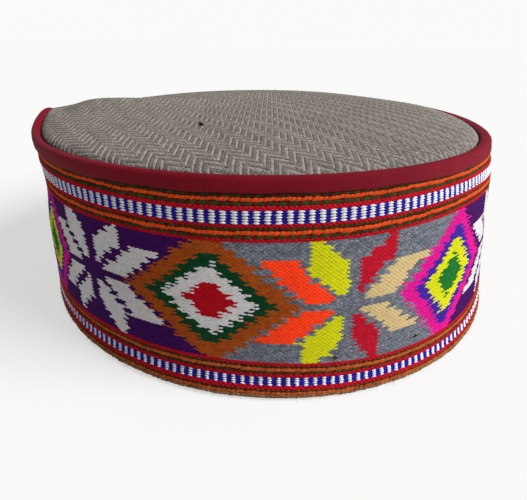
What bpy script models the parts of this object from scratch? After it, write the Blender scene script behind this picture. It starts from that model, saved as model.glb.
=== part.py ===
# Kullu cap: a round tweed crown and side wall, a woven band round the side and a bound top edge.
# Metres, +Z up. The origin is the middle of the lower edge, and the front of the cap is towards -Y.

import math
from collections import namedtuple

import bpy

# Driving dimensions of the cap, the round sizes to the outer face of the band
HEIGHT = 0.0675                 # table to the top of the binding
ROUND_RADIUS = 0.0970           # the circle that every piece is turned on before it takes its worn form
AXIS_ANGLE = -40.4              # degrees, direction of the first half axis of each oval below
LOWER_OVAL = (0.0984, 0.0953)   # half axes at the lower edge
UPPER_OVAL = (0.0918, 0.0973)   # half axes at the top edge
GAP = 0.0003                    # between one cloth and the next

# Cloth thicknesses
BAND_CLOTH = 0.0012
WALL_CLOTH = 0.0020
CROWN_CLOTH = 0.0018
BINDING_CLOTH = 0.0010

# Binding, a strip folded over the band's top edge
BINDING_FACE = 0.0041           # height of its outer leg
BINDING_BACK = 0.0050           # height of its inner leg
BINDING_FOLD_STEPS = 6          # flats in the half round of the fold

# The binding draws the cloth in under it, so that its face is about level with the band's
TUCK = 0.0014                   # how far the cloth is drawn in
TUCK_START = 0.0092             # below the top edge
TUCK_END = 0.0053

# Band and wall heights
BAND_FOOT = 0.0011              # the turned lower edge of the wall shows under the band
BAND_HEAD_ROOM = 0.0006         # free space over the band inside the fold
WALL_STEPS = 7                  # heights in which the band and the wall follow the worn form
FOOT_PRESS = 0.0010             # what lies lower than this is pressed flat on the table

# Faceting round the cap
ROUND_STEPS = 72

# Crown outline from its seam to its middle: depth in from the band's face, height over the top of the binding
CrownPoint = namedtuple("CrownPoint", "depth rise")
CROWN_OUTLINE = (
    CrownPoint(depth=0.0028, rise=-0.0036),
    CrownPoint(depth=0.0036, rise=-0.0014),
    CrownPoint(depth=0.0060, rise=0.0008),
    CrownPoint(depth=0.0110, rise=0.0024),
    CrownPoint(depth=0.0200, rise=0.0038),
    CrownPoint(depth=0.0360, rise=0.0052),
    CrownPoint(depth=0.0620, rise=0.0064),
    CrownPoint(depth=ROUND_RADIUS, rise=0.0070),
)

# Pushes in and out of the side wall: direction and height of the middle, reach each way, depth outwards
SidePush = namedtuple("SidePush", "angle height angleReach heightReach out")
SIDE_PUSHES = (
    SidePush(angle=184, height=0.051, angleReach=42, heightReach=0.012, out=-0.0022),
    SidePush(angle=188, height=0.0675, angleReach=30, heightReach=0.010, out=0.0016),
    SidePush(angle=-15, height=0.054, angleReach=35, heightReach=0.012, out=0.0008),
    SidePush(angle=-62, height=0.036, angleReach=30, heightReach=0.020, out=0.0006),
)

# Slow rises and dips of the top edge, full at the top and none at the table
RimRise = namedtuple("RimRise", "angle reach rise")
RIM_RISES = (
    RimRise(angle=190, reach=14, rise=0.0044),
    RimRise(angle=-20, reach=35, rise=-0.0005),
)

# Soft swellings of the crown's cloth between its middle and its seam
CrownSwell = namedtuple("CrownSwell", "angle radius reach rise")
CROWN_SWELLS = (
    CrownSwell(angle=182, radius=0.078, reach=0.018, rise=0.0009),
    CrownSwell(angle=40, radius=0.074, reach=0.024, rise=-0.0010),
)

# Colours, roughness
TWEED = ((0.28, 0.25, 0.22, 1.0), 0.95)
TWEED_WALL = ((0.30, 0.26, 0.21, 1.0), 0.95)
WOVEN = ((0.45, 0.08, 0.05, 1.0), 0.85)
MAROON = ((0.17, 0.012, 0.027, 1.0), 0.60)


def clearObjects():
    for obj in list(bpy.data.objects):
        bpy.data.objects.remove(obj, do_unlink=True)


def newCollection(name):
    collection = bpy.data.collections.new(name)
    bpy.context.scene.collection.children.link(collection)
    return collection


def makeMaterial(name, finish):
    colour, roughness = finish
    material = bpy.data.materials.new(name)
    material.use_nodes = True
    shader = material.node_tree.nodes["Principled BSDF"]
    shader.inputs["Base Color"].default_value = colour
    shader.inputs["Roughness"].default_value = roughness
    shader.inputs["Metallic"].default_value = 0.0
    material.diffuse_color = colour
    return material


def hill(distance, reach):
    # A round hill, 1 in the middle and about 0 two reaches away
    return math.exp(-(distance / reach) ** 2)


def angleBetween(angle, other):
    # Degrees from one direction to another, -180 to 180
    return (angle - other + 180) % 360 - 180


def ovalRadius(angle, oval):
    first, second = oval
    turn = math.radians(angle - AXIS_ANGLE)
    return first * second / math.hypot(second * math.cos(turn), first * math.sin(turn))


def wornRadius(angle, height):
    # Radius of the band's outer face
    share = min(max(height / HEIGHT, 0.0), 1.0)
    radius = (1 - share) * ovalRadius(angle, LOWER_OVAL) + share * ovalRadius(angle, UPPER_OVAL)
    for push in SIDE_PUSHES:
        aside = hill(angleBetween(angle, push.angle), push.angleReach)
        radius += push.out * aside * hill(height - push.height, push.heightReach)
    return radius


def tuckDepth(height):
    share = (height - (HEIGHT - TUCK_START)) / (TUCK_START - TUCK_END)
    return TUCK * min(max(share, 0.0), 1.0)


def rimRise(angle, height):
    share = min(max(height / HEIGHT, 0.0), 1.0)
    return share ** 2 * sum(rise.rise * hill(angleBetween(angle, rise.angle), rise.reach)
                            for rise in RIM_RISES)


def crownSwell(x, y):
    total = 0.0
    for swell in CROWN_SWELLS:
        turn = math.radians(swell.angle)
        away = math.hypot(x - swell.radius * math.cos(turn), y - swell.radius * math.sin(turn))
        total += swell.rise * hill(away, swell.reach)
    return total


def wear(point, swells):
    # Moves a point of the turned shape to its place on the worn cap
    radius = math.hypot(point.x, point.y)
    angle = math.degrees(math.atan2(point.y, point.x))
    height = point.z
    inward = min(radius / (0.85 * ROUND_RADIUS), 1.0)      # the middle of the crown stays where it is
    radius += inward * (wornRadius(angle, height) - tuckDepth(height) - ROUND_RADIUS)
    point.x = radius * math.cos(math.radians(angle))
    point.y = radius * math.sin(math.radians(angle))
    point.z = height + inward * rimRise(angle, height)
    if swells and height > HEIGHT:
        point.z += crownSwell(point.x, point.y) * min((height - HEIGHT) / 0.003, 1.0)


def turnedMesh(name, profile):
    # Open surface turned from a profile of (radius, height) points that runs down its outer side
    mesh = bpy.data.meshes.new(name + "_profile")
    mesh.from_pydata([(radius, 0.0, height) for radius, height in profile],
                     [(i, i + 1) for i in range(len(profile) - 1)], [])
    guide = bpy.data.objects.new(name + "_profile", mesh)
    bpy.context.scene.collection.objects.link(guide)
    screw = guide.modifiers.new("turn", "SCREW")
    screw.steps = ROUND_STEPS
    screw.render_steps = ROUND_STEPS
    screw.use_merge_vertices = True
    screw.merge_threshold = 0.00005
    evaluated = guide.evaluated_get(bpy.context.evaluated_depsgraph_get())
    turned = bpy.data.meshes.new_from_object(evaluated)
    turned.name = name
    bpy.data.objects.remove(guide, do_unlink=True)
    bpy.data.meshes.remove(mesh)
    return turned


def makeCloth(name, profile, thickness, finish, collection, swells=False):
    # Cloth of even thickness, laid on the inner side of a turned and worn surface
    mesh = turnedMesh(name, profile)
    for vertex in mesh.vertices:
        wear(vertex.co, swells)
    mesh.shade_smooth()
    mesh.set_sharp_from_angle(angle=math.radians(40))
    cloth = bpy.data.objects.new(name, mesh)
    collection.objects.link(cloth)
    cloth.data.materials.append(makeMaterial(name, finish))
    thicken = cloth.modifiers.new("cloth", "SOLIDIFY")
    thicken.thickness = thickness
    thicken.offset = -1.0
    thicken.use_even_offset = True
    return cloth


def pressFlat(cloth):
    # Gives the piece its thickness for good, then sets its lower edge flat on the table
    evaluated = cloth.evaluated_get(bpy.context.evaluated_depsgraph_get())
    pressed = bpy.data.meshes.new_from_object(evaluated)
    cloth.modifiers.clear()
    cloth.data = pressed
    for vertex in pressed.vertices:
        if vertex.co.z < FOOT_PRESS:
            vertex.co.z = 0.0


def wallProfile(depth, top, bottom):
    # Down the face at one depth: the drawn-in top, then even steps that every piece of the wall shares
    start = HEIGHT - TUCK_START
    heights = [top]
    if top > HEIGHT - TUCK_END:
        heights.append(HEIGHT - TUCK_END)
    heights += [start * (1 - i / WALL_STEPS) for i in range(WALL_STEPS)]
    heights.append(bottom)
    return [(ROUND_RADIUS - depth, height) for height in heights]


def makeBand(collection):
    top = HEIGHT - BINDING_CLOTH - BAND_HEAD_ROOM
    return makeCloth("band", wallProfile(0.0, top, BAND_FOOT), BAND_CLOTH, WOVEN, collection)


def makeSideWall(collection):
    top = HEIGHT - BINDING_BACK - GAP
    profile = wallProfile(BAND_CLOTH + GAP, top, 0.0)
    wall = makeCloth("side_wall", profile, WALL_CLOTH, TWEED_WALL, collection)
    pressFlat(wall)
    return wall


def makeBinding(collection):
    # Up the inner leg, over the fold, down the outer leg
    outer = ROUND_RADIUS + GAP + BINDING_CLOTH
    inner = ROUND_RADIUS - BAND_CLOTH - GAP - BINDING_CLOTH
    middle = (outer + inner) / 2
    fold = (outer - inner) / 2
    springing = HEIGHT - fold
    profile = [(inner, HEIGHT - BINDING_BACK)]
    for step in range(BINDING_FOLD_STEPS + 1):
        turn = math.pi * (1 - step / BINDING_FOLD_STEPS)
        profile.append((middle + fold * math.cos(turn), springing + fold * math.sin(turn)))
    profile.append((outer, HEIGHT - BINDING_FACE))
    return makeCloth("binding", profile, BINDING_CLOTH, MAROON, collection)


def makeCrown(collection):
    # From the middle of the dome out and down to the edge that stands on the side wall
    profile = [(ROUND_RADIUS - point.depth, HEIGHT + point.rise) for point in reversed(CROWN_OUTLINE)]
    profile.append((ROUND_RADIUS - CROWN_OUTLINE[0].depth, HEIGHT - BINDING_BACK))
    return makeCloth("crown", profile, CROWN_CLOTH, TWEED, collection, swells=True)


def main():
    clearObjects()
    cap = newCollection("kullu_cap")
    makeSideWall(cap)
    makeBand(cap)
    makeBinding(cap)
    makeCrown(cap)


main()
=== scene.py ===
import math

import bpy
import numpy as np
from mathutils import Matrix, Vector


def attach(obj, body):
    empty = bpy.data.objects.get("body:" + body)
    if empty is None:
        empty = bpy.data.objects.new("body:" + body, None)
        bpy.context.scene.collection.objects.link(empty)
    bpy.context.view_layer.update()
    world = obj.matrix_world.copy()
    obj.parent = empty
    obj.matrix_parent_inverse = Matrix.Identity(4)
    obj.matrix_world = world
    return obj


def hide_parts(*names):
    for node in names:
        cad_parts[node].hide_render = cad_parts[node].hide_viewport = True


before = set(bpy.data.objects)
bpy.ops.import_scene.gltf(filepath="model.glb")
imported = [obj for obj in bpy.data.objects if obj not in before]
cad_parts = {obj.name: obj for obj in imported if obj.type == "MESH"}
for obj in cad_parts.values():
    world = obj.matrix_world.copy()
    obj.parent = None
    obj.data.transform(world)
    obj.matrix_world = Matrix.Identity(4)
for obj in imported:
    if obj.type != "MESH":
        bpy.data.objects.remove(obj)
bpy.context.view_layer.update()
millimetre = 0.001

# The worn form of the cap: the part's own, with the foot's flare, the rim's dip and the crown's dents and pull,
# which only the dressed cap has
capShape = {
    "height": 67.5,  # table to the top of the binding
    "roundRadius": 97.0,  # circle that each cloth is turned on
    "axisAngle": -40.4,  # direction of the first half axis of each oval
    "lowerOval": (98.4, 95.3),
    "upperOval": (91.8, 97.3),
    "tuckStart": 9.2,  # the cloth is drawn in under the binding, from here below the top
    "tuckEnd": 5.3,
    # direction, height, reach round, reach up, outwards
    "sidePushes": ((184, 51, 42, 12, -2.2), (188, 67.5, 30, 10, 1.6), (-15, 54, 35, 12, 0.8),
                   (-62, 36, 30, 20, 0.6), (-92, 0, 62, 5, 1.5)),
    # direction, reach, rise of the top edge
    "rimRises": ((190, 14, 4.4), (-20, 35, -0.5), (183, 5.5, -3.0), (191, 4, 0.4)),
    # direction, distance out, reach, rise of the crown's cloth
    "crownSwells": ((182, 78, 18, 0.9), (40, 74, 24, -1.0), (194, 90, 9, -3.4), (165, 60, 28, -0.7),
                    (168, 90, 10, -2.0)),
    "swellFade": 3,  # the swells are full this far over the top of the binding
    "stillShare": 0.85,  # nearer the middle than this share of the radius the crown moves less with the wall
    # on the right the crown's edge is drawn in: depth, direction, reach
    "crownPull": (3.2, 6, 32),
    "pullFrom": 0.8,  # share of the radius at which the pull starts
    "pullGrowth": 0.17,  # and the share over which it grows
    "pullSeam": 5.0,  # the pull starts at the crown's seam, this far below the top
    "pullFull": 1.2,  # and is full from here up
    # depth in from the band's face, height over the top of the binding
    "crownOutline": ((2.6, -5.0), (2.6, -1.2), (3.3, 0.2), (5.6, 1.35), (11.0, 2.5), (20.0, 3.8), (36.0, 5.2),
                     (62.0, 6.4), (97.0, 7.0)),
    "backAngle": 90,  # the cloths are joined here
}
roundRadius, rimHeight = capShape["roundRadius"], capShape["height"]


def hill(distance, reach):
    return np.exp(-(distance / reach) ** 2)


def angleBetween(angle, other):
    return (angle - other + 180) % 360 - 180


def ovalRadius(angle, oval):
    first, second = oval
    turn = np.radians(angle - capShape["axisAngle"])
    return first * second / np.hypot(second * np.cos(turn), first * np.sin(turn))


def wornRadius(angle, height):
    share = np.clip(height / rimHeight, 0, 1)
    radius = (1 - share) * ovalRadius(angle, capShape["lowerOval"]) + share * ovalRadius(angle, capShape["upperOval"])
    for direction, level, reachRound, reachUp, out in capShape["sidePushes"]:
        radius = radius + out * hill(angleBetween(angle, direction), reachRound) * hill(height - level, reachUp)
    return radius


def tuckShare(height):
    start = rimHeight - capShape["tuckStart"]
    share = np.clip((height - start) / (capShape["tuckStart"] - capShape["tuckEnd"]), 0, 1)
    return share * share * (3 - 2 * share)


def rimRise(angle, height):
    share = np.clip(height / rimHeight, 0, 1)
    rises = sum(rise * hill(angleBetween(angle, direction), reach) for direction, reach, rise in capShape["rimRises"])
    return share ** 2 * rises


def crownSwell(x, y):
    total = 0
    for direction, radius, reach, rise in capShape["crownSwells"]:
        turn = math.radians(direction)
        total = total + rise * hill(np.hypot(x - radius * math.cos(turn), y - radius * math.sin(turn)), reach)
    return total


def crownPull(angle, height):
    depth, direction, reach = capShape["crownPull"]
    seam, full = capShape["pullSeam"], capShape["pullFull"]
    share = np.clip((height - rimHeight + seam) / (seam - full), 0, 1)
    return depth * hill(angleBetween(angle, direction), reach) * share


def wear(radius, angle, height, tuck=0.0, swells=False):
    # Places on the worn cap of points given on the round one
    radius, angle, height = np.broadcast_arrays(np.asarray(radius, float), angle, height)
    inward = np.minimum(radius / (capShape["stillShare"] * roundRadius), 1)
    out = radius + inward * (wornRadius(angle, height) - tuck * tuckShare(height) - roundRadius)
    if swells:
        grown = np.clip((radius / roundRadius - capShape["pullFrom"]) / capShape["pullGrowth"], 0, 1)
        out = out - crownPull(angle, height) * grown
    x, y = out * np.cos(np.radians(angle)), out * np.sin(np.radians(angle))
    z = height + inward * rimRise(angle, height)
    if swells:
        z = z + crownSwell(x, y) * np.clip((height - rimHeight) / capShape["swellFade"], 0, 1)
    return np.stack([x, y, z], -1)


def smoothCurve(points, steps):
    # Catmull-Rom curve through the points
    points = np.asarray(points, float)
    padded = np.vstack([2 * points[0] - points[1], points, 2 * points[-1] - points[-2]])
    share = np.linspace(0, 1, steps, endpoint=False)[:, None]
    parts = []
    for a, b, c, d in zip(padded, padded[1:], padded[2:], padded[3:]):
        square, cube = 2 * a - 5 * b + 4 * c - d, 3 * b - a - 3 * c + d
        parts.append(0.5 * (2 * b + (c - a) * share + square * share ** 2 + cube * share ** 3))
    return np.vstack(parts + [points[-1:]])


def runAlong(points):
    # Length of the line of points up to each of them
    return np.concatenate([[0], np.cumsum(np.hypot(*np.diff(points, axis=0).T))])


def newMesh(name, points, faces, attributes):
    # Smooth mesh from arrays of points in millimetres, faces and values for each point
    mesh = bpy.data.meshes.new(name)
    faces = np.asarray(faces, np.int32)
    mesh.vertices.add(len(points))
    mesh.vertices.foreach_set("co", (np.asarray(points, np.float32) * millimetre).ravel())
    mesh.loops.add(faces.size)
    mesh.loops.foreach_set("vertex_index", faces.ravel())
    mesh.polygons.add(len(faces))
    mesh.polygons.foreach_set("loop_start", np.arange(len(faces), dtype=np.int32) * faces.shape[1])
    mesh.update(calc_edges=True)
    for key, values in attributes.items():
        values = np.asarray(values, np.float32)
        kind, field = ("FLOAT", "value") if values.ndim == 1 else ("FLOAT_VECTOR", "vector")
        mesh.attributes.new(key, kind, "POINT").data.foreach_set(field, values.ravel())
    mesh.shade_smooth()
    return mesh


def addObject(name, data):
    added = bpy.data.objects.new(name, data)
    bpy.context.scene.collection.objects.link(added)
    return added


def placePiece(name, mesh, material, replaces):
    piece = addObject(name, mesh)
    mesh.materials.append(material)
    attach(piece, "root")
    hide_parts(*replaces)


def loopFaces(levels, around, closedLoop):
    # Quads of a grid of levels x around points that closes on itself round the cap
    level = np.arange(levels if closedLoop else levels - 1)
    step = np.arange(around)
    here, after = step[None, :], (step[None, :] + 1) % around
    low, high = level[:, None] * around, (level[:, None] + 1) % levels * around
    return np.stack([low + here, low + after, high + after, high + here], -1).reshape(-1, 4)


def turnedCloth(name, loop, around, tuck, shift=None):
    # A sheet with both its faces, swept round the cap from a loop of (radius, height) points
    loop = np.asarray(loop, float)
    angle = np.arange(around) * 360 / around
    radius = np.repeat(loop[:, :1], around, 1)
    height = np.repeat(loop[:, 1:], around, 1)
    if shift is not None:
        radius, height = shift(radius, height, np.broadcast_to(angle, radius.shape))
    points = wear(radius, angle[None, :], height, tuck).reshape(-1, 3)
    run = runAlong(loop)
    # cloth coordinates in millimetres: both ways round from the join at the back, up the sheet
    fromJoin = np.radians(np.abs(angleBetween(angle, capShape["backAngle"]))) * roundRadius
    cloth = np.stack([np.broadcast_to(fromJoin, radius.shape), np.repeat(run[:, None], around, 1),
                      np.zeros(radius.shape)], -1).reshape(-1, 3)
    return newMesh(name, points, loopFaces(len(loop), around, True), {"cloth": cloth})


# A yarn float is a small lens with two tips, four corners and a ridge
lensCorners = np.array([(-.5, 0, -.35), (.5, 0, -.35), (-.17, .5, -.25), (.17, .5, -.25),
                        (-.17, -.5, -.25), (.17, -.5, -.25), (-.14, 0, 1), (.14, 0, 1)])
lensFaces = np.array([(0, 6, 2), (0, 4, 6), (2, 6, 7), (2, 7, 3), (4, 7, 6), (4, 5, 7), (3, 7, 1), (7, 5, 1)])


def lensMesh(name, places, along, up, normal, length, width, rise, tone):
    size = np.stack([length, width, rise], -1)[:, None, :] * lensCorners[None, :, :]
    points = (places[:, None, :] + size[..., :1] * along[:, None, :]
              + size[..., 1:2] * up[:, None, :] + size[..., 2:] * normal[:, None, :])
    faces = (np.arange(len(places))[:, None, None] * 8 + lensFaces[None]).reshape(-1, 3)
    return newMesh(name, points.reshape(-1, 3), faces, {"tone": np.repeat(tone, 8)})


def unit(vectors):
    return vectors / np.linalg.norm(vectors, axis=-1, keepdims=True)


def frameAt(surface, first, second, step=0.4):
    # Place and directions on a surface that is a function of two coordinates
    place = surface(first, second)
    along = unit(surface(first + step, second) - surface(first - step, second))
    normal = unit(np.cross(along, surface(first, second + step) - surface(first, second - step)))
    return place, along, np.cross(normal, along), normal


def turned(along, up, slant):
    slant = np.radians(slant)[:, None]
    return along * np.cos(slant) + up * np.sin(slant), up * np.cos(slant) - along * np.sin(slant)


def srgb(red, green, blue):
    # Linear colour from sRGB values of 0 to 255
    linear = (c / 255 / 12.92 if c <= 10 else ((c / 255 + 0.055) / 1.055) ** 2.4 for c in (red, green, blue))
    return (*linear, 1.0)


def newGroup(name, inputs):
    # Effect that several materials share: it puts out a colour, a height and a roughness
    group = bpy.data.node_groups.new(name, "ShaderNodeTree")
    for label, value in inputs.items():
        kind = "Color" if isinstance(value, tuple) else "Float"
        socket = group.interface.new_socket(label, in_out="INPUT", socket_type="NodeSocket" + kind)
        socket.default_value = value
    for label, kind in (("Colour", "Color"), ("Height", "Float"), ("Roughness", "Float")):
        group.interface.new_socket(label, in_out="OUTPUT", socket_type="NodeSocket" + kind)
    place = group.nodes.new("ShaderNodeTexCoord").outputs["Object"]
    return group, group.nodes.new("NodeGroupInput").outputs, place


def setInputs(node, values):
    for key, value in values.items():
        node.inputs[key].default_value = value


def addMath(tree, operation, first, second=None, third=None):
    node = tree.nodes.new("ShaderNodeMath")
    node.operation = operation
    for socket, value in zip(node.inputs, (first, second, third)):
        if value is None:
            continue
        if isinstance(value, (int, float)):
            socket.default_value = value
        else:
            tree.links.new(value, socket)
    return node.outputs[0]


def addMix(tree, factor, first, second):
    node = tree.nodes.new("ShaderNodeMix")
    node.data_type = "RGBA"
    for socket, value in ((node.inputs[0], factor), (node.inputs[6], first), (node.inputs[7], second)):
        if isinstance(value, (int, float, tuple)):
            socket.default_value = value
        else:
            tree.links.new(value, socket)
    return node.outputs[2]


def addNoise(tree, vector, scale, detail=2.0, roughness=0.5):
    node = tree.nodes.new("ShaderNodeTexNoise")
    setInputs(node, {"Scale": scale, "Detail": detail, "Roughness": roughness})
    tree.links.new(vector, node.inputs["Vector"])
    return node.outputs["Fac"]


def addRange(tree, value, low, high, outLow=0.0, outHigh=1.0):
    node = tree.nodes.new("ShaderNodeMapRange")
    for socket, number in zip(node.inputs[1:5], (low, high, outLow, outHigh)):
        socket.default_value = number
    tree.links.new(value, node.inputs[0])
    return node.outputs[0]


def addScale(tree, colour, factor):
    node = tree.nodes.new("ShaderNodeVectorMath")
    node.operation = "SCALE"
    tree.links.new(colour, node.inputs[0])
    tree.links.new(factor, node.inputs["Scale"])
    return node.outputs[0]


def addAttribute(tree, name):
    node = tree.nodes.new("ShaderNodeAttribute")
    node.attribute_name = name
    return node.outputs


def closeGroup(group, colour, height, grain, roughness):
    # Puts out the group's results, with a roughness between two values that follows the grain
    end = group.nodes.new("NodeGroupOutput").inputs
    rough = addRange(group, grain, 0.3, 0.7, *roughness)
    for label, value in (("Colour", colour), ("Height", height), ("Roughness", rough)):
        group.links.new(value, end[label])
    return group


def makeWoolGroup():
    # Spun wool: fine hairs in the yarn, light and dark specks, and a tone of its own for each float
    values = {"Colour": (0.5, 0.5, 0.5, 1), "Speck Colour": (0.8, 0.8, 0.8, 1), "Speck Amount": 0.1,
              "Tone Change": 0.15, "Hair Depth": 0.3}
    group, given, place = newGroup("wool fibre", values)
    tone = addAttribute(group, "tone")["Fac"]
    hairs = addNoise(group, place, 2600, 3, 0.6)
    specks = addNoise(group, place, 2300, 1, 0.4)
    cloud = addNoise(group, place, 45, 3, 0.55)
    speckMask = addMath(group, "MULTIPLY", addRange(group, specks, 0.55, 0.68), given["Speck Amount"])
    speckled = addMix(group, speckMask, given["Colour"], given["Speck Colour"])
    # shade = 1 + tone * change + hairs and cloud
    byTone = addMath(group, "MULTIPLY_ADD", tone, given["Tone Change"], 1.0)
    byHair = addMath(group, "MULTIPLY_ADD", addMath(group, "SUBTRACT", hairs, 0.5), given["Hair Depth"], byTone)
    byCloud = addMath(group, "MULTIPLY_ADD", addMath(group, "SUBTRACT", cloud, 0.5), 0.35, byHair)
    return closeGroup(group, addScale(group, speckled, byCloud), hairs, hairs, (0.82, 1.0))


def makeWeaveGroup():
    # Fine plain weave from the cloth coordinates, turned by an angle, with uneven threads; its lighter specks are
    # partly thread tone and partly painted glints of the satin weave
    values = {"Colour": (0.5, 0.5, 0.5, 1), "Light Colour": (0.8, 0.8, 0.8, 1), "Thread Pitch": 0.4,
              "Turn": 0.785, "Light Amount": 0.3}
    group, given, place = newGroup("plain weave", values)
    link = group.links.new
    spin = group.nodes.new("ShaderNodeVectorRotate")
    spin.rotation_type = "Z_AXIS"
    link(addAttribute(group, "cloth")["Vector"], spin.inputs["Vector"])
    link(given["Turn"], spin.inputs["Angle"])
    parts = group.nodes.new("ShaderNodeSeparateXYZ")
    link(spin.outputs[0], parts.inputs[0])
    waves = []
    for axis in (0, 1):
        turns = addMath(group, "DIVIDE", parts.outputs[axis], given["Thread Pitch"])
        waves.append(addMath(group, "SINE", addMath(group, "MULTIPLY", turns, math.pi)))
    over = addMath(group, "MULTIPLY", waves[0], waves[1])
    grain = addNoise(group, place, 1800, 2, 0.6)
    cloud = addNoise(group, place, 60, 3, 0.5)
    height = addMath(group, "MULTIPLY_ADD", grain, 0.6, addMath(group, "ABSOLUTE", over))
    light = addMath(group, "MULTIPLY_ADD", grain, 1.2, addMath(group, "MULTIPLY", over, 0.25))
    # lighter specks: partly uneven threads, partly painted glints
    threadAndGlintMask = addMath(group, "MULTIPLY", addRange(group, light, 0.62, 0.95), given["Light Amount"])
    mixed = addMix(group, threadAndGlintMask, given["Colour"], given["Light Colour"])
    shaded = addScale(group, mixed, addRange(group, cloud, 0.3, 0.7, 0.86, 1.12))
    return closeGroup(group, shaded, height, grain, (0.7, 0.95))


def makeHerringboneGroup():
    # The tweed's zigzag ribs from the cloth coordinates, for faces without yarn of their own
    values = {"Light Colour": (0.5, 0.5, 0.5, 1), "Dark Colour": (0.2, 0.2, 0.2, 1), "Column Width": 4.2,
              "Rib Pitch": 2.1}
    group, given, place = newGroup("herringbone", values)
    parts = group.nodes.new("ShaderNodeSeparateXYZ")
    group.links.new(addAttribute(group, "cloth")["Vector"], parts.inputs[0])
    zigzag = addMath(group, "PINGPONG", parts.outputs[0], given["Column Width"])
    slope = addMath(group, "MULTIPLY_ADD", zigzag, 1.42, parts.outputs[1])
    turns = addMath(group, "DIVIDE", slope, given["Rib Pitch"])
    rib = addMath(group, "SINE", addMath(group, "MULTIPLY", turns, math.tau))
    grain = addNoise(group, place, 1500, 3, 0.65)
    mask = addRange(group, addMath(group, "MULTIPLY_ADD", grain, 1.6, addMath(group, "MULTIPLY", rib, 0.5)), 0.45, 1.25)
    colour = addMix(group, mask, given["Dark Colour"], given["Light Colour"])
    return closeGroup(group, colour, addMath(group, "MULTIPLY_ADD", grain, 0.7, rib), grain, (0.85, 1.0))


woolGroup = makeWoolGroup()
weaveGroup = makeWeaveGroup()
herringboneGroup = makeHerringboneGroup()


def clothMaterial(name, group, values, bump, sheen=0.06, sheenTint=(1, 1, 1, 1)):
    material = bpy.data.materials.new(name)
    material.use_nodes = True
    tree = material.node_tree
    shader = tree.nodes["Principled BSDF"]
    setInputs(shader, {"Specular IOR Level": 0.08, "Sheen Weight": sheen, "Sheen Roughness": 0.5,
                       "Sheen Tint": sheenTint})
    effect = tree.nodes.new("ShaderNodeGroup")
    effect.node_tree = group
    setInputs(effect, values)
    relief = tree.nodes.new("ShaderNodeBump")
    setInputs(relief, {"Strength": 1.0, "Distance": bump * millimetre})
    tree.links.new(effect.outputs["Colour"], shader.inputs["Base Color"])
    tree.links.new(effect.outputs["Roughness"], shader.inputs["Roughness"])
    tree.links.new(effect.outputs["Height"], relief.inputs["Height"])
    tree.links.new(relief.outputs["Normal"], shader.inputs["Normal"])
    return material


def herringboneMaterial(name, light, dark):
    return clothMaterial(name, herringboneGroup, {"Light Colour": srgb(*light), "Dark Colour": srgb(*dark)}, 0.25)


def woolMaterial(name, colour, speck, amount, toneChange, hairDepth=0.5):
    speck = speck or tuple(min(255, c + 50) for c in colour)
    values = {"Colour": srgb(*colour), "Speck Colour": srgb(*speck), "Speck Amount": amount,
              "Tone Change": toneChange, "Hair Depth": hairDepth}
    return clothMaterial(name, woolGroup, values, 0.10, sheen=0.0)


print("shader groups ready")


# The woven band, in blocks two columns wide
band = {
    "columns": 412,  # floats in one row round the cap
    "repeat": 56,  # blocks of two columns in one repeat
    "fieldTop": 49.95,
    "fieldFoot": 12.8,
    "fieldLines": 68,
    "blockPitch": 2.185,  # height of one row of blocks
    "floatLength": 2.3,
    "floatWidth": 1.0,
    "floatRise": 0.21,
    "diamondTip": 1.1,  # the outermost floats of a diamond's ring reach this much farther over its edge
    "petalTip": 0.15,
    "petalTooth": 0.05,  # blocks by which alternate lines reach over a petal's edge
    "diamondTooth": 0.12,  # and over a diamond's
    "edgeRagged": 0.10,  # blocks by which single floats stray over it
    "groundDepth": 0.30,  # the ground lies this far under the band's face
    "tuck": 0.5,
    "cloth": 0.9,
    # dark ground under the floats: the band's own ground, and painted shade in the gaps between floats
    "ground": (50, 10, 15),
    "groundSpeck": (86, 26, 30),
    "foot": 1.2,
    "head": 65.2,
    "wanderTop": 64,  # the rows run level from here up, and wander in full this much lower
    "wanderGrowth": 8,
    "petalEnd": 9.9,  # no petal reaches farther out, in blocks
    "joinReach": 0.6,  # blocks that a joined petal and its diamond reach for each other
    "seam": (2.0, 63.0, 2.1),  # stitches at the back: lowest, highest, pitch
}

# sRGB of the lit yarn, speck colour, speck amount, change of tone from float to float
bandYarns = {
    "purple": ((49, 4, 69), (77, 24, 97), 0.25, 0.20),
    "white": ((182, 178, 178), (211, 207, 204), 0.3, 0.08),
    "orange": ((137, 60, 12), (159, 84, 34), 0.3, 0.16),
    "dark_green": ((5, 52, 26), (21, 73, 39), 0.3, 0.22),
    "red": ((151, 4, 19), (179, 25, 40), 0.2, 0.12),
    "grey": ((86, 89, 97), (151, 152, 160), 0.45, 0.3),
    "orange_red": ((227, 55, 19), (227, 83, 48), 0.25, 0.08),
    "yellow": ((178, 179, 10), (199, 202, 45), 0.25, 0.06),
    "petal_red": ((155, 10, 31), (179, 42, 64), 0.25, 0.12),
    "beige": ((172, 150, 105), (205, 189, 147), 0.25, 0.08),
    "pink": ((181, 9, 115), (202, 55, 137), 0.25, 0.10),
    "blue": ((50, 25, 128), (78, 50, 148), 0.25, 0.16),
    "green": ((20, 92, 31), (48, 121, 56), 0.25, 0.14),
    "border_red": ((160, 8, 22), (181, 40, 51), 0.25, 0.14),
    "border_orange": ((184, 60, 15), (196, 102, 52), 0.25, 0.12),
    "border_green": ((34, 49, 18), (62, 88, 36), 0.3, 0.35),
    "border_rust": ((150, 68, 28), (177, 105, 66), 0.3, 0.2),
    "hem_brown": ((112, 76, 50), (150, 118, 90), 0.4, 0.25),
    "border_brown": ((79, 18, 11), (122, 42, 25), 0.3, 0.3),
    "border_blue": ((23, 18, 122), (51, 48, 153), 0.2, 0.15),
    "border_white": ((198, 198, 203), (214, 214, 217), 0.3, 0.06),
}
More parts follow.
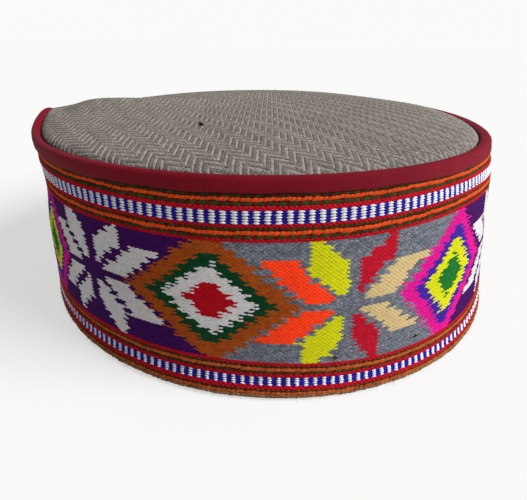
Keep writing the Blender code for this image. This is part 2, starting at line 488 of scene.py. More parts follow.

# Charts of the petals, quarter by quarter: from where to where the yarn runs, in blocks out from the flower's
# middle, row by row: first the upright petal, from two rows out, then the level one, from a row out
whiteQuarterOpen = (
    ((0.8, 1.4), (0.75, 2.2), (0.75, 3.3), (0.75, 4.4), (1.7, 4.4), (2.85, 4.4), (3.7, 4.4)),
    ((1.8, 5.2), (2.75, 6.0), (3.9, 7.1), (4.75, 7.8), (5.6, 9.1)),
)
whiteQuarterJoined = (
    ((0.55, 1.5), (0.6, 2.3), (0.75, 3.1), (0.8, 4.1), (1.2, 4.25), (1.9, 4.25), (2.5, 4.3), (3.2, 4.25)),
    ((2.0, 5.2), (2.7, 5.9), (3.5, 6.9), (4.4, 7.8), (5.2, 8.9)),
)
yellowQuarterAbove = (
    ((0.5, 1.85), (0.45, 2.5), (0.45, 3.3), (0.45, 4.2), (0.5, 4.3), (1.6, 4.3), (2.5, 4.4), (3.0, 4.5)),
    ((2.0, 4.9), (2.5, 5.7), (3.3, 6.5), (4.4, 7.3), (4.8, 8.0), (5.3, 8.9)),
)
yellowQuarterBelow = (
    ((0.8, 1.7), (0.8, 2.7), (0.9, 3.6), (1.0, 4.6), (1.3, 4.7), (2.0, 4.7), (3.2, 4.8), (4.2, 4.9)),
    ((2.0, 5.1), (2.7, 6.3), (3.9, 7.2), (4.6, 8.2), (5.6, 9.3)),
)
redQuarterAbove = (
    ((0.6, 1.3), (0.6, 2.1), (0.65, 2.6), (0.7, 3.3), (0.8, 4.35), (1.9, 4.4), (3.15, 4.45), (3.55, 4.5)),
    ((1.5, 5.1), (2.1, 5.8), (3.0, 6.3), (3.9, 7.1), (4.6, 9.2)),
)
redQuarterBelow = (
    ((0.45, 1.2), (0.45, 2.0), (0.35, 2.9), (0.15, 3.7), (0.75, 3.7), (1.5, 3.65), (2.2, 3.7), (2.6, 3.6)),
    ((1.15, 4.3), (2.1, 5.3), (3.1, 6.4), (4.2, 7.5), (4.9, 8.8)),
)
# Middle of each flower, then side and half of each quarter: its charts, yarns of the upright and the level petal,
# whether they are joined to each other, and whether to the diamond
flowers = {
    14: {
        (-1, 1): (yellowQuarterAbove, "yellow", "orange_red", True, True),
        (-1, -1): (yellowQuarterBelow, "yellow", "orange_red", True, True),
        (1, 1): (redQuarterAbove, "petal_red", "beige", False, True),
        (1, -1): (redQuarterBelow, "petal_red", "beige", False, False),
    },
    42: {
        (-1, 1): (whiteQuarterJoined, "white", "white", True, False),
        (-1, -1): (whiteQuarterOpen, "white", "white", False, False),
        (1, 1): (whiteQuarterOpen, "white", "white", False, False),
        (1, -1): (whiteQuarterJoined, "white", "white", True, True),
    },
}

# Middle of each diamond, how much narrower each row is, and its rings from the outside in
diamonds = {
    0: (0.9, ((8.8, "orange"), (6.4, "dark_green"), (4.7, "white"), (2.62, "red"))),
    28: (0.76, ((8.1, "pink"), (6.0, "blue"), (4.6, "yellow"), (2.45, "green"))),
}

# The hand of the weaver: places round the cap against blocks of the pattern, at the field's top and at its foot
patternDrift = {
    "top": ((-304.8, -101.8), (-128, -42), (-88, -28), (-79.3, -23.1), (-71.3, -18.4), (-57.7, -14), (-16.1, 0),
            (24.4, 14), (68.4, 28), (80.2, 32.7), (107.7, 42), (304.8, 108.6)),
    "foot": ((-304.8, -102.2), (-128, -42.4), (-86.8, -28), (-78.4, -23), (-68.8, -18.4), (-57.7, -14), (-16.1, 0),
             (24.4, 14), (61, 28), (77, 34), (105, 42), (304.8, 109.6)),
}
# and how far the woven rows rise or fall: place round the cap, at the field's top, its middle and its foot
rowDrift = ((-304.8, 0, 0, 0), (-100, 0, 0.2, 0), (-80, 0, 0.8, 0), (-60, 0, 1.3, 0), (-30, 0, 1.2, 0),
            (-17, 0, 0.7, 0), (-8, 0, -0.1, -0.3), (0, 0.1, -0.6, -0.6), (15, 0.2, -1.1, -1.2), (35, 0.4, -1.2, -2.0),
            (50, 0.7, -1.25, -2.1), (65, 1.2, -1.3, -1.9), (80, 1.3, -0.9, -1.5), (100, 0.6, -0.2, -0.5),
            (304.8, 0, 0, 0))

# Borders from the binding down: kind of stripe, yarn, upper and lower height. A ladder has its number of rungs, its
# lines of floats and the share of white instead of a yarn
borderStripes = (
    ("dashes", "border_green", 63.2, 62.4),
    ("rope", "border_orange", 62.45, 61.05),
    ("dashes", "border_green", 61.1, 59.95),
    ("plain", "border_red", 59.95, 58.85),
    ("ladder", (207, 5, 0.6), 58.85, 55.0),
    ("plain", "border_red", 55.0, 54.1),
    ("dashes", "border_green", 54.15, 53.3),
    ("rope", "border_orange", 53.3, 51.8),
    ("dashes", "border_green", 51.8, 50.85),
    ("plain", "border_red", 50.9, 49.95),
    ("plain", "border_red", 12.8, 11.6),
    ("dashes", "border_green", 11.6, 10.95),
    ("rope", "border_rust", 11.0, 9.4),
    ("dashes", "border_green", 9.45, 8.85),
    ("plain", "border_red", 8.7, 7.65),
    ("ladder", (228, 4, 0.48), 7.65, 4.84),
    ("plain", "border_red", 4.84, 3.6),
    ("dashes", "border_green", 3.6, 3.0),
    ("rope", "border_rust", 3.05, 2.0),
    ("rope", "hem_brown", 2.1, 1.1),
)

# Floats of each kind of stripe: length, width as a share of the stripe's, rise, slant, and how much their place,
# height, length, width, rise and slant vary. A ladder's lengths are shares of the room that it has for each yarn
stripeFloats = {
    "plain": (1.9, 0.72, 0.32, 8, (0.1, 0.04, 0, 0, 0.05, 4)),
    "rope": (2.7, 0.82, 0.32, 19, (0.2, 0.08, 0.4, 0.12, 0.10, 9)),
    "dashes": (3.3, 1.05, 0.34, 6, (0.2, 0.05, 0.35, 0, 0.06, 4)),
    "between": (1.8, 0.8, 0.2, 8, (0.3, 0.08, 0.4, 0, 0.07, 8)),
    "white": (1.45, 0.9, 0.36, 0, (0.1, 0.04, 0.2, 0, 0.05, 6)),
    "blue": (2.1, 0.9, 0.03, 0, (0.1, 0.04, 0.2, 0, 0.05, 6)),
}

# Stray stitches and stains: yarn, place round the cap, height, length, width, number of fibres
strayStitches = (
    ("green", 42.5, 54.0, 1.8, 0.6, 2),
    ("border_green", 20.6, 14.4, 1.6, 0.5, 4),
    ("border_green", 48.7, 15.9, 1.5, 0.5, 3),
)

random = np.random.default_rng(7)


def bandSurface(lift):
    # Band face as a function of arc length from the front and height
    def surface(arc, height):
        angle = np.degrees(arc / roundRadius) - 90
        return wear(roundRadius + lift, angle, height, band["tuck"])
    return surface


def rowWander(arc, height):
    # Slow rise and fall of the woven rows, with the drift of the field's own rows
    places, top, middle, foot = np.array(rowDrift).T
    centre = (band["fieldTop"] + band["fieldFoot"]) / 2
    upper = np.clip((height - centre) / (band["fieldTop"] - centre), 0, 1)
    lower = np.clip((centre - height) / (centre - band["fieldFoot"]), 0, 1)
    drift = (np.interp(arc, places, middle) * (1 - upper - lower) + np.interp(arc, places, top) * upper
             + np.interp(arc, places, foot) * lower)
    fade = np.clip((band["wanderTop"] - height) / band["wanderGrowth"], 0, 1)
    fade = fade * np.clip(height / band["fieldFoot"], 0, 1) ** 0.7
    # with 5 and 13 slow waves round the cap
    wave = 0.12 * np.sin(5 * arc / roundRadius + 0.09 * height)
    return drift * fade + (wave + 0.08 * np.sin(13 * arc / roundRadius + 1.7))


def patternPlace(arc, height):
    # Blocks from the orange diamond's middle
    share = np.clip((height - band["fieldFoot"]) / (band["fieldTop"] - band["fieldFoot"]), 0, 1)
    ends = [np.interp(arc, *np.array(patternDrift[edge]).T) for edge in ("foot", "top")]
    return ends[0] * (1 - share) + ends[1] * share


def blocksFrom(place, middle):
    # Blocks from the middle of a diamond to the nearest place of the same sort, either way
    half = band["repeat"] / 2
    return (place - middle + half) % band["repeat"] - half


def petalReach(chart, firstRow, level):
    table = np.zeros((12, 2))
    table[firstRow:firstRow + len(chart)] = chart
    return table[level, 0], table[level, 1]


def fieldChart(place, row, side):
    # Yarn of each float: blocks round the pattern, block rows above the middle, side to which its line's teeth point
    names = list(bandYarns)
    code = {name: names.index(name) for name in names}
    period = band["repeat"]
    level = np.floor(np.abs(row) + 0.5).astype(int)
    last = np.abs(row) + 0.5 - level > 0.75           # the block's line farthest from the middle
    place = place % period
    yarn = np.where(place < period / 2, code["grey"], code["purple"])
    toothed = place + side * band["diamondTooth"]
    spreads = {}
    for middle, (narrowing, rings) in diamonds.items():
        spreads[middle] = np.abs(blocksFrom(toothed, middle)) + narrowing * level - rings[0][0]
    for middle, quarters in flowers.items():
        across = place + side * band["petalTooth"] - middle
        near = np.abs(across)
        for (acrossSign, upSign), (charts, upright, levelYarn, joined, joinedOut) in quarters.items():
            quarter = (np.sign(across) == acrossSign) & (np.where(row < 0, -1, 1) == upSign)
            quarter = quarter & (near < band["petalEnd"])
            innerFrom, innerTo = petalReach(charts[0], 2, level)
            outerFrom, outerTo = petalReach(charts[1], 1, level)
            yarn = np.where(quarter & (near >= innerFrom) & (near < innerTo), code[upright], yarn)
            yarn = np.where(quarter & (near >= outerFrom) & (near < outerTo), code[levelYarn], yarn)
            joint = quarter & last & (level >= 1) & (level <= 5)
            if joined:
                gap = joint & (level >= 2) & (near >= innerTo) & (near < outerFrom)
                yarn = np.where(gap, code[upright], yarn)
            if joinedOut:
                gap = joint & (near >= outerTo) & (near < outerTo + band["joinReach"])
                yarn = np.where(gap, code[levelYarn], yarn)
                ring = (middle + acrossSign * period // 4) % period
                gap = joint & (spreads[ring] >= 0) & (spreads[ring] < band["joinReach"])
                yarn = np.where(gap, code[diamonds[ring][1][0][1]], yarn)
    for middle, (narrowing, rings) in diamonds.items():
        for limit, name in rings:
            yarn = np.where(spreads[middle] + rings[0][0] < limit, code[name], yarn)
    # which way is out from the middle of the diamond that a float is on, 0 off the diamonds
    outward = sum((spread < 0) * np.sign(blocksFrom(place, middle)) for middle, spread in spreads.items())
    return yarn, outward, names


bandFloats = {name: [] for name in bandYarns}


def addFloats(yarn, *values):
    # Arc, height, length, width, rise, slant and tone of floats of one yarn
    bandFloats[yarn].append(np.stack(np.broadcast_arrays(*values), -1))


def jitter(shape, amount):
    return random.uniform(-amount, amount, shape)


def addStripe(yarn, arc, height, length, width, rise, slant, vary):
    # A line of floats, each a little different in what varies
    values = (arc, height, length, width, rise, slant)
    varied = [value + jitter(len(arc), amount) if amount else value for value, amount in zip(values, vary)]
    addFloats(yarn, *varied, jitter(len(arc), 1))


roundLength = math.tau * roundRadius
columnPitch = roundLength / band["columns"]


def layField():
    lines = band["fieldLines"]
    pitch = (band["fieldTop"] - band["fieldFoot"]) / lines
    line, column = np.meshgrid(np.arange(lines), np.arange(band["columns"]), indexing="ij")
    arc = (column + 0.25 + 0.5 * (line % 2) - band["columns"] / 2) * columnPitch
    height = band["fieldTop"] - (line + 0.5) * pitch
    places, _, middle, _ = np.array(rowDrift).T
    centre = (band["fieldTop"] + band["fieldFoot"]) / 2 + np.interp(arc, places, middle)
    row = (height + rowWander(arc, height) - centre) / band["blockPitch"]
    side = np.where(line % 2 == 0, 1, -1)
    yarn, outward, names = fieldChart(patternPlace(arc, height) + jitter(line.shape, band["edgeRagged"]), row, side)
    slant = 2.0 * side + jitter(line.shape, 5)
    length, width, rise = (band[key] * (1 + jitter(line.shape, amount))
                           for key, amount in (("floatLength", 0.08), ("floatWidth", 0.1), ("floatRise", 0.2)))
    for way, turns in ((1, -1), (-1, 1)):
        # a tip's neighbours on that side, in its own line and in the lines above and below, are of other yarns
        outer = np.roll(yarn, turns, axis=1)
        stepped = (line % 2 == 1) == (way == 1)
        higher, lower = (np.where(stepped, np.roll(outer, shift, axis=0), np.roll(yarn, shift, axis=0))
                         for shift in (1, -1))
        tip = (outer != yarn) & (higher != yarn) & (lower != yarn)
        reach = np.where(outward == way, band["diamondTip"], (outward == 0) * band["petalTip"])
        reach = reach * (1 + jitter(line.shape, 0.25)) * tip
        length = length + reach
        arc = arc + way * reach / 2
        rise = rise + 0.08 * (tip & (outward == way))
    for index, name in enumerate(names):
        chosen = yarn == index
        if not chosen.any():
            continue
        count = chosen.sum()
        addFloats(name, arc[chosen] + jitter(count, 0.08), height[chosen] + jitter(count, 0.05), length[chosen],
                  width[chosen], rise[chosen], slant[chosen], jitter(count, 1))


def layLadder(rungs, rows, share, top, foot):
    pitch, deep = roundLength / rungs, top - foot
    arc = (np.arange(rungs) + 0.5 - rungs / 2) * pitch
    for row in range(rows):
        height = foot + deep * (row + 0.5) / rows
        for name, offset, room in (("white", 0.0, share), ("blue", pitch / 2, 1 - share)):
            length, width, rise, slant, vary = stripeFloats[name]
            addStripe("border_" + name, arc + offset, height, pitch * (room * length), deep / rows * width, rise,
                      slant, vary)


def layStripe(kind, yarn, top, foot):
    middle, deep = (top + foot) / 2, top - foot
    arc = (np.arange(band["columns"]) + 0.5 - band["columns"] / 2) * columnPitch
    length, width, rise, slant, vary = stripeFloats[kind]
    if kind == "plain":
        # two lines that lean towards each other
        for line, lean in ((0, -slant), (1, slant)):
            height = foot + deep * (0.25 + 0.5 * line)
            addStripe(yarn, arc + line * columnPitch / 2, height, length, deep * width, rise, lean, vary)
    elif kind == "rope":
        wave = 0.09 * np.sin(arc / 3.1 + top) + 0.06 * np.sin(arc / 1.3 + 2 * top)
        addStripe(yarn, arc, middle + wave, length, deep * width, rise, slant, vary)
    elif kind == "dashes":
        addStripe(yarn, arc[::2], middle, length, deep * width, rise, slant, vary)
        length, width, rise, slant, vary = stripeFloats["between"]
        addStripe("border_brown", arc[1::2], middle, length, deep * width, rise, slant, vary)


def makeBand():
    layField()
    for kind, yarn, top, foot in borderStripes:
        if kind == "ladder":
            layLadder(*yarn, top, foot)
        else:
            layStripe(kind, yarn, top, foot)
    for yarn, arc, height, length, width, count in strayStitches:
        addStripe(yarn, np.full(count, arc), height, length, width, 0.55, 20, (0.5, 0.5, 0, 0, 0.1, 50))
    seam = np.arange(*band["seam"])
    addStripe("border_red", np.full(len(seam), -roundLength / 2), seam, 2.6, 0.55, 0.55, 28, (0.2, 0, 0, 0, 0, 0))
    surface = bandSurface(-band["groundDepth"] + 0.05)
    total = 0
    for name, parts in bandFloats.items():
        floats = np.vstack(parts)
        arc, height, length, width, rise, slant, tone = floats.T
        height = height + rowWander(arc, height)
        place, along, up, normal = frameAt(surface, arc, height)
        along, up = turned(along, up, slant)
        mesh = lensMesh("band_yarn_" + name, place, along, up, normal, length, width, rise, tone)
        colour, speck, amount, toneChange = bandYarns[name]
        material = woolMaterial("wool " + name.replace("_", " "), colour, speck, amount, toneChange)
        placePiece("band_yarn_" + name, mesh, material, ("band",))
        total += len(mesh.polygons)
    print("band yarn:", total, "faces")
    # the dark ground: the band's own ground, and painted shade in the gaps between the floats
    radius = roundRadius - band["groundDepth"]
    heights = np.linspace(band["foot"], band["head"], 34)
    loop = [(radius, z) for z in heights] + [(radius - band["cloth"], z) for z in heights[::-1]]
    mesh = turnedCloth("band_ground_and_shade", loop, 288, band["tuck"])
    material = woolMaterial("band ground and shade", band["ground"], band["groundSpeck"], 0.2, 0.0)
    placePiece("band_ground_and_shade", mesh, material, ("band",))


makeBand()


# The tweed crown, two yarns over a cloth
tweed = {
    "columnAngle": 126.3,  # direction of the herringbone columns
    "endPitch": 0.66,  # warp threads
    "pickPitch": 0.90,  # weft threads
    "endsInColumn": 6,
    "warpRise": 0.26,
    "lean": 20,  # degrees that the light floats lean along the ribs
    "weftRise": 0.22,
    "cloth": 1.4,
    "edgeThicker": 0.75,  # the cloth's inner face goes this much farther in near the edge
    "edgeFrom": 90,
    "clothDrop": 0.12,  # the cloth lies this far under its yarn
    "tuck": 0.9,
    "light": (125, 118, 112),
    "dark": (99, 93, 87),
    "lightSpeck": (166, 159, 152),
    "darkSpeck": (58, 51, 46),
    "lightCloth": (136, 129, 120),
    "darkCloth": (74, 68, 62),
    "edgeArc": 0.6,  # yarn stops this far before the crown's edge
}


# Crown outline from the middle out, and the arc length to each point
crownOutline = [(roundRadius - depth, rimHeight + rise) for depth, rise in reversed(capShape["crownOutline"])]
crownCurve = smoothCurve(crownOutline, 8)
crownRun = runAlong(crownCurve)


def crownSurface(lift):
    def surface(first, second):
        arc = np.hypot(first, second)
        angle = np.degrees(np.arctan2(second, first))
        radius = np.interp(arc, crownRun, crownCurve[:, 0])
        height = np.interp(arc, crownRun, crownCurve[:, 1])
        slope = np.gradient(crownCurve[:, 1], crownRun)
        outward = -np.interp(arc, crownRun, slope)
        upward = np.sqrt(np.clip(1 - outward ** 2, 0, 1))
        return wear(radius + lift * outward, angle, height + lift * upward, tweed["tuck"], swells=True)
    return surface


def runsOf(under):
    # Starts and lengths of the runs of true along the last axis
    padded = np.pad(under, ((0, 0), (1, 1)))
    change = np.diff(padded.astype(int), axis=1)
    rows, starts = np.nonzero(change == 1)
    _, ends = np.nonzero(change == -1)
    return rows, starts, ends - starts


def layTweed():
    reach = crownRun[-1]
    ends = int(reach / tweed["endPitch"]) + 1
    picks = int(reach / tweed["pickPitch"]) + 1
    end = np.arange(-ends, ends)
    pick = np.arange(-picks, picks)
    span = tweed["endsInColumn"]
    step = np.abs((end % (2 * span)) - span)
    warpUp = ((pick[None, :] + step[:, None]) % 4) < 2
    yarns = {}
    endIndex, pickStart, length = runsOf(warpUp)
    across = (end[endIndex] + 0.5) * tweed["endPitch"]
    down = (pick[0] + pickStart + length / 2) * tweed["pickPitch"]
    lean = tweed["lean"] * np.where(end[endIndex] % (2 * span) < span, -1, 1)
    yarns["light"] = (across, down, length * tweed["pickPitch"] + 0.3, tweed["endPitch"] * 1.4, tweed["warpRise"],
                      90 + lean)
    pickIndex, endStart, length = runsOf(~warpUp.T)
    across = (end[0] + endStart + length / 2) * tweed["endPitch"]
    down = (pick[pickIndex] + 0.5) * tweed["pickPitch"]
    yarns["dark"] = (across, down, length * tweed["endPitch"] + 0.3, tweed["pickPitch"] * 1.1, tweed["weftRise"],
                     np.zeros(len(length)))
    turn = math.radians(tweed["columnAngle"] - 90)
    ahead, aside = 0.3 * math.cos(turn), 0.3 * math.sin(turn)
    surface = crownSurface(0.0)
    for name, (across, down, length, width, rise, slant) in yarns.items():
        count = len(across)
        across = across + jitter(count, 0.05)
        down = down + jitter(count, 0.08)
        first = across * math.cos(turn) - down * math.sin(turn)
        second = across * math.sin(turn) + down * math.cos(turn)
        kept = np.hypot(first, second) < reach - tweed["edgeArc"]
        first, second, length, slant = first[kept], second[kept], length[kept], slant[kept]
        count = kept.sum()
        place, _, _, normal = frameAt(surface, first, second)
        # threads follow the cloth's own grain, not the circle
        along = unit(surface(first + ahead, second + aside) - surface(first - ahead, second - aside))
        up = unit(np.cross(normal, along))
        along, up = turned(along, up, slant + jitter(count, 6))
        mesh = lensMesh("tweed_yarn_" + name, place, along, up, normal, length * (1 + jitter(count, 0.08)),
                        width * (1 + jitter(count, 0.12)), rise * (1 + jitter(count, 0.2)), jitter(count, 1))
        material = woolMaterial("tweed " + name, tweed[name], tweed[name + "Speck"], 0.36, 0.18, 0.7)
        placePiece("tweed_yarn_" + name, mesh, material, ("crown",))
        print("tweed", name, "yarn:", len(mesh.polygons), "faces")


def makeCrown():
    around = 192
    outer = crownCurve[1:] - np.array([0, tweed["clothDrop"]])
    farther = tweed["edgeThicker"] * (outer[::-1, 0] > tweed["edgeFrom"])
    inner = outer[::-1] - np.stack([farther, np.full(len(outer), tweed["cloth"])], -1)
    loop = np.vstack([[(0.02, outer[0, 1])], outer, inner, [(0.02, inner[-1, 1])]])
    angle = np.arange(around) * 360 / around
    points = wear(loop[:, :1], angle[None, :], loop[:, 1:], tweed["tuck"], swells=True).reshape(-1, 3)
    turn = math.radians(tweed["columnAngle"] - 90)
    x, y = points[:, 0], points[:, 1]
    across, down = x * math.cos(turn) + y * math.sin(turn), -x * math.sin(turn) + y * math.cos(turn)
    cloth = np.stack([across, down, 0 * x], -1)
    mesh = newMesh("crown_cloth", points, loopFaces(len(loop), around, False), {"cloth": cloth})
    material = herringboneMaterial("tweed cloth", tweed["lightCloth"], tweed["darkCloth"])
    placePiece("crown_cloth", mesh, material, ("crown",))


makeCrown()
layTweed()


# The side wall's cloth, with a rounded fold at its foot that reaches out under the band
wall = {
    "depth": 1.5,
    "cloth": 2.0,
    "tuck": 1.4,
    "top": 62.2,
    "levels": (3, 56, 16),  # lowest and highest level of its straight part, and their number
    # outwards from the outer face and up from the table, then outwards from the inner face
    "outerFold": ((0.3, 1.8), (0.75, 1.2), (0.8, 0.7), (0.45, 0.25)),
    "innerFold": ((0, 0.35), (-0.1, 1.0)),
    "sole": (0.4, 0.02),  # half its width, and height
    "light": (138, 124, 104),
    "dark": (72, 62, 51),
}


def makeWall():
    outer = roundRadius - wall["depth"]
    inner = outer - wall["cloth"]
    middle = (outer + inner) / 2
    levels = np.linspace(*wall["levels"])
    half, sole = wall["sole"]
    loop = [(outer, wall["top"])] + [(outer, z) for z in levels[::-1]]
    loop += [(outer + out, z) for out, z in wall["outerFold"]] + [(middle + half, sole), (middle - half, sole)]
    loop += [(inner + out, z) for out, z in wall["innerFold"]]
    loop += [(inner, z) for z in levels] + [(inner, wall["top"])]
    mesh = turnedCloth("wall_cloth", loop, 240, wall["tuck"])
    material = herringboneMaterial("wall tweed", wall["light"], wall["dark"])
    placePiece("wall_cloth", mesh, material, ("side_wall",))
    print("side wall ready")


makeWall()


# The binding, a strip folded over the rim
binding = {
    "face": 4.5,  # height of the outer leg
    "rise": 0.35,  # its fold stands this much over the rim
    "back": 5.0,  # height of the inner leg
    "proud": 0.5,  # how far its fold stands out from the band's face, before the tuck
    "inside": 2.5,  # depth of its inner face
    "cloth": 0.55,
    "joinRise": 0.3,  # its ends lap over each other at the back
    "joinAngle": 94,
    "joinReach": 2.4,  # half the lap, in degrees round the cap
    "tuck": 0.6,
    "foldHeight": 0.9,  # the fold is this much flatter than round
    "colour": (97, 3, 18),
    # lighter speck colour: partly thread tone, partly painted glints of the satin weave
    "light": (158, 32, 56),
    "sheen": (255, 150, 175),
}


def makeBinding():
    outer = roundRadius + binding["proud"]
    inner = roundRadius - binding["inside"]
    middle, fold = (outer + inner) / 2, (outer - inner) / 2
    top = rimHeight + binding["rise"]
    turn = np.linspace(math.pi, 0, 13)
    tall = fold * binding["foldHeight"]
    ridge = np.stack([middle + fold * np.cos(turn), top - tall + tall * np.sin(turn)], -1)
    inside = [(inner, z) for z in np.linspace(top - binding["back"], ridge[0, 1], 4)[:-1]]
    foot = top - binding["face"]
    outside = [(outer + 0.05, z) for z in np.linspace(ridge[-1, 1], foot + 0.5, 5)[1:]]
    outside += [(outer - 0.08, foot + 0.12), (outer - 0.35, foot)]
    face = np.vstack([inside, ridge, outside])
    back = face[::-1].copy()
    back[:, 0] += np.where(back[:, 0] > middle, -binding["cloth"], binding["cloth"])
    back[:, 1] = np.minimum(back[:, 1], top - binding["cloth"])
    loop = np.vstack([face, back])

    def puckers(radius, height, angle):
        turn = np.radians(angle)
        ripple = 0.04 * np.sin(51 * turn) * np.sin(7 * turn + 1) + 0.06 * np.sin(11 * turn + 0.4)
        side = np.where(radius > middle, 1, -0.6)
        hem = 0.12 * np.sin(15 * turn) + 0.08 * np.sin(36 * turn)
        lower = np.where((radius > middle) & (height < foot + 0.6), hem, 0)
        fromJoin = np.abs(angleBetween(angle, binding["joinAngle"])) / binding["joinReach"]
        join = binding["joinRise"] * np.clip(1.6 - fromJoin, 0, 1)
        wide = crownPull(angle, height) * np.clip((outer - radius) / (outer - inner), 0, 1)
        return radius + (ripple + join) * side - wide, height + lower

    mesh = turnedCloth("binding_strip", loop, 480, binding["tuck"], shift=puckers)
    # the light specks are partly thread tone and partly painted glints
    values = {"Colour": srgb(*binding["colour"]), "Light Colour": srgb(*binding["light"]), "Thread Pitch": 0.3,
              "Light Amount": 0.34}
    material = clothMaterial("maroon binding", weaveGroup, values, 0.05, sheen=0.07, sheenTint=srgb(*binding["sheen"]))
    placePiece("binding_strip", mesh, material, ("binding",))
    print("binding ready")


makeBinding()


# Loose wool on the hem and the crown
hairs = {
    "hemCount": 1600,
    "hemLength": (0.6, 2.0),
    "hemColour": (206, 190, 164),
    "crownCount": 900,
    "crownLength": (0.5, 1.8),
    "crownReach": 90,
    "crownColour": (214, 208, 198),
    "thickness": 0.035,
}

# Dark fibres caught on the crown
lint = {
    "place": (-24.2, -52.0),
    "starts": ((0, 0.5, 1.1), (0, -1.8, -4.0)),  # of each fibre, to the right and to the back
    "directions": ((0.3, -1.0, 0.05), (0.3, -1.0, 0.1), (0.8, -0.6, 0.1)),
    "lengths": (5.2, 3.0, 1.6),
    "bends": (0.12, 0.15, -0.3),
    "thickness": 0.36,
    "colour": (34, 30, 30),
}


def hairMesh(name, roots, directions, lengths, bend, thickness):
    # Curved three-sided hairs, each of three straight lengths
    count = len(roots)
    side = unit(np.cross(directions, random.normal(size=(count, 3))))
    other = np.cross(directions, side)
    points = []
    for share in (0, 0.4, 0.75, 1.0):
        centre = roots + directions * (lengths * share)[:, None] + side * (bend * lengths * share ** 2)[:, None]
        width = thickness * (1 - 0.6 * share)
        for corner in range(3):
            turn = math.tau * corner / 3
            points.append(centre + width * (math.cos(turn) * side + math.sin(turn) * other))
    points = np.stack(points, 1).reshape(-1, 3)
    faces = []
    for ring in range(3):
        for corner in range(3):
            after = (corner + 1) % 3
            faces.append((ring * 3 + corner, ring * 3 + after, ring * 3 + 3 + after, ring * 3 + 3 + corner))
    faces = (np.arange(count)[:, None, None] * 12 + np.array(faces)[None]).reshape(-1, 4)
    return newMesh(name, points, faces, {"tone": np.repeat(random.uniform(-1, 1, count), 12)})


def makeLint(surface):
    place = surface(*(np.array(lint["place"])[:, None] + np.array(lint["starts"])))
    mesh = hairMesh("lint", place, unit(np.array(lint["directions"])), np.array(lint["lengths"]),
                    np.array(lint["bends"]), lint["thickness"])
    placePiece("lint", mesh, woolMaterial("lint", lint["colour"], None, 0.2, 0.1), ("crown",))


def makeHairs():
    count = hairs["hemCount"]
    angle = random.uniform(-180, 180, count)
    place = wear(roundRadius - 0.9, angle, random.uniform(0.3, 1.6, count))
    outward = np.stack([np.cos(np.radians(angle)), np.sin(np.radians(angle)), np.zeros(count)], -1)
    direction = unit(outward + random.normal(0, 0.5, (count, 3)) * np.array([1, 1, 0.4]))
    mesh = hairMesh("hem_hairs", place, direction, random.uniform(*hairs["hemLength"], count),
                    random.uniform(-0.5, 0.5, count), hairs["thickness"])
    mesh.vertices.foreach_set("co", clampFloor(mesh))
    material = woolMaterial("hem hairs", hairs["hemColour"], None, 0.2, 0.15)
    placePiece("hem_hairs", mesh, material, ("side_wall",))
    count = hairs["crownCount"]
    radius = np.sqrt(random.uniform(0.0, 1, count)) * hairs["crownReach"]
    angle = random.uniform(-180, 180, count)
    surface = crownSurface(0.25)
    place, _, _, normal = frameAt(surface, radius * np.cos(np.radians(angle)), radius * np.sin(np.radians(angle)))
    direction = unit(normal * random.uniform(0.15, 0.9, count)[:, None] + random.normal(0, 0.6, (count, 3)))
    makeLint(surface)
    mesh = hairMesh("tweed_hairs", place, direction, random.uniform(*hairs["crownLength"], count),
                    random.uniform(-0.6, 0.6, count), hairs["thickness"])
    material = woolMaterial("tweed hairs", hairs["crownColour"], None, 0.2, 0.15)
    placePiece("tweed_hairs", mesh, material, ("crown",))
    print("loose wool ready")


def clampFloor(mesh):
    # Hairs lie on the table, not in it
    points = np.zeros(len(mesh.vertices) * 3, np.float32)
    mesh.vertices.foreach_get("co", points)
    points[2::3] = np.maximum(points[2::3], 0.00004)
    return points


makeHairs()


# Floor and light
studio = {
    "floor": (137, 137, 136),
    "floorSize": 40.0,  # metres from the middle to each side
    "floorGlow": 0.60,  # keeps the cap's shadow light
    "keyDirection": 74,  # to the right of the front
    "keyHeight": 38,
    "keyStrength": 5.6,
    "keySoftness": 34,  # angle that the soft key light fills
    "ambient": 0.30,
    "background": 0.96,
}

# Where the photograph was taken from, about a point over the middle of the cap's foot: metres and degrees
photoView = {
    "target": (0, 0, 0.03373),
    "elevation": 18.776,
    "distance": 0.20202,
    "roll": 0.976,
    "lens": 28.06,
    "shift": (-0.0093, -0.1247),
}


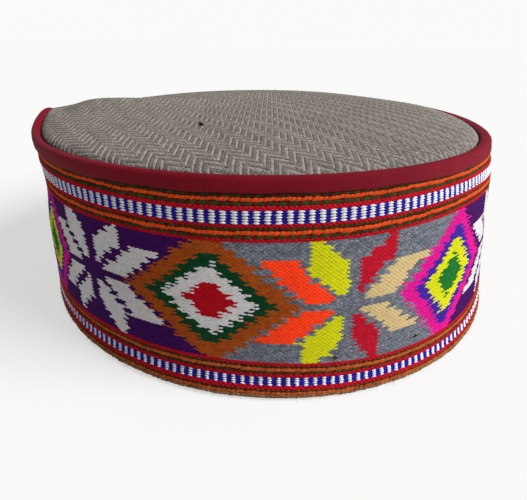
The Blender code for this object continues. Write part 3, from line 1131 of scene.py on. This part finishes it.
def makeFloor():
    mesh = bpy.data.meshes.new("floor")
    size = studio["floorSize"]
    corners = [(-size, -size, 0), (size, -size, 0), (size, size, 0), (-size, size, 0)]
    mesh.from_pydata(corners, [], [(0, 1, 2, 3)])
    floor = addObject("floor", mesh)
    material = bpy.data.materials.new("pale floor")
    material.use_nodes = True
    tree = material.node_tree
    shader = tree.nodes["Principled BSDF"]
    noise = addNoise(tree, tree.nodes.new("ShaderNodeTexCoord").outputs["Object"], 3.0, 2)
    low, high = srgb(*studio["floor"]), srgb(*(c + 3 for c in studio["floor"]))
    tree.links.new(addMix(tree, noise, low, high), shader.inputs["Base Color"])
    setInputs(shader, {"Roughness": 0.9, "Specular IOR Level": 0.0, "Emission Color": (1, 1, 0.99, 1),
                       "Emission Strength": studio["floorGlow"]})
    mesh.materials.append(material)


def makeStudio():
    # One soft key from the right, an even dim surround, and a plain pale background behind the floor
    world = bpy.data.worlds.new("studio")
    world.use_nodes = True
    tree = world.node_tree
    surround = tree.nodes["Background"]
    setInputs(surround, {"Color": (0.93, 0.96, 1.0, 1), "Strength": studio["ambient"]})
    shown = tree.nodes.new("ShaderNodeBackground")
    setInputs(shown, {"Color": (1, 1, 0.99, 1), "Strength": studio["background"]})
    blend = tree.nodes.new("ShaderNodeMixShader")
    tree.links.new(tree.nodes.new("ShaderNodeLightPath").outputs["Is Camera Ray"], blend.inputs[0])
    tree.links.new(surround.outputs[0], blend.inputs[1])
    tree.links.new(shown.outputs[0], blend.inputs[2])
    tree.links.new(blend.outputs[0], tree.nodes["World Output"].inputs["Surface"])
    bpy.context.scene.world = world
    key = bpy.data.lights.new("key", "SUN")
    key.energy = studio["keyStrength"]
    key.angle = math.radians(studio["keySoftness"])
    lamp = addObject("key", key)
    around, up = math.radians(studio["keyDirection"]), math.radians(studio["keyHeight"])
    towards = Vector((math.sin(around) * math.cos(up), -math.cos(around) * math.cos(up), math.sin(up)))
    lamp.rotation_euler = (-towards).to_track_quat("-Z", "Y").to_euler()
    bpy.context.scene.view_settings.view_transform = "Standard"


def makeCamera():
    elevation, roll = math.radians(photoView["elevation"]), math.radians(photoView["roll"])
    back = Vector((0, -math.cos(elevation), math.sin(elevation)))
    camera = bpy.data.cameras.new("photo_view")
    camera.sensor_width = 36
    camera.lens = photoView["lens"]
    camera.shift_x, camera.shift_y = photoView["shift"]
    camera.clip_start = 0.01
    camera.clip_end = 20
    holder = addObject("photo_view", camera)
    turn = (-back).to_track_quat("-Z", "Y").to_matrix().to_4x4() @ Matrix.Rotation(roll, 4, "Z")
    place = Vector(photoView["target"]) + back * photoView["distance"]
    holder.matrix_world = Matrix.Translation(place) @ turn
    bpy.context.scene.camera = holder


makeFloor()
makeStudio()
makeCamera()
print("floor, light and camera ready")

print("cap dressed")
